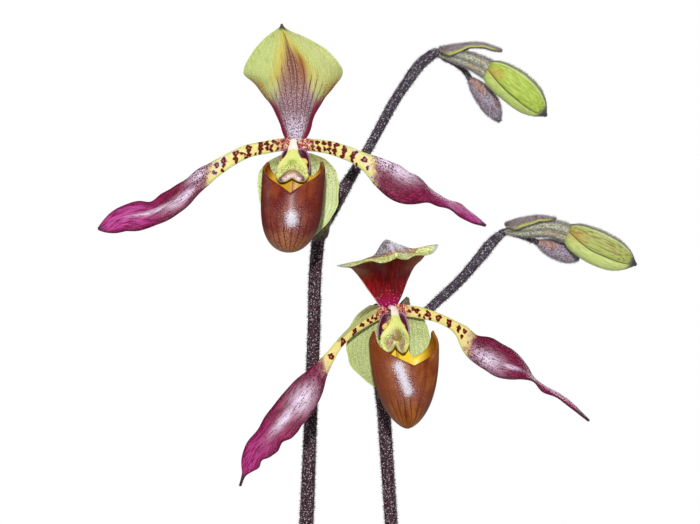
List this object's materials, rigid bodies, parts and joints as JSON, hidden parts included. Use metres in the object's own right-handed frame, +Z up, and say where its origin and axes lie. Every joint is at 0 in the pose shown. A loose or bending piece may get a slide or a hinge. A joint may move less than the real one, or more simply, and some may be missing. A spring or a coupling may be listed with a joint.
{
  "type": "potted paphiopedilum lowii orchid",
  "caption": "Slipper orchid in a plain clay pot: arching strap leaves and tall hairy stems, each with an open flower of long spotted petals and a brown pouch, and a side bud.",
  "frame": {"origin": "centre of the pot's flat underside", "axes": "+Z up along the pot's axis; the open flowers face -Y, towards the picture's camera; +X to the viewer's right"},
  "size_m": [0.4601, 0.4263, 0.56],
  "materials": {
    "terracotta": "matt fired clay",
    "bark": "rough chips",
    "root": "matt",
    "leaf": "satin",
    "scape": "hairy, dark purple",
    "ovary": "ribbed, finely hairy",
    "bract": "finely hairy",
    "dorsal_sepal": "satin, yellow-green with brown veins",
    "synsepal": "satin, pale green",
    "petal": "velvety, spotted cream base and magenta blade",
    "pouch": "glossy mahogany brown",
    "column": "satin, pale yellow",
    "bud": "satin, finely hairy at its edges"
  },
  "bodies": {
    "root": {"pot": "terracotta", "bark_mix": "bark", "rhizome_with_roots": "root", "a_leaf_1": "leaf", "a_leaf_2": "leaf", "a_leaf_3": "leaf", "a_leaf_4": "leaf", "a_leaf_5": "leaf", "a_scape": "scape", "a_ovary": "ovary", "a_bract": "bract", "a_dorsal_sepal": "dorsal_sepal", "a_synsepal": "synsepal", "a_petal_left": "petal", "a_petal_right": "petal", "a_pouch": "pouch", "a_column": "column", "a_bud_ovary": "ovary", "a_bud_bract": "bract", "a_bud": "bud", "a_tip_bract": "bract", "b_leaf_1": "leaf", "b_leaf_2": "leaf", "b_leaf_3": "leaf", "b_leaf_4": "leaf", "b_leaf_5": "leaf", "b_scape": "scape", "b_ovary": "ovary", "b_bract": "bract", "b_dorsal_sepal": "dorsal_sepal", "b_synsepal": "synsepal", "b_petal_left": "petal", "b_petal_right": "petal", "b_pouch": "pouch", "b_column": "column", "b_bud_ovary": "ovary", "b_bud_bract": "bract", "b_bud": "bud", "b_tip_bract": "bract"}
  },
  "joints": []
}
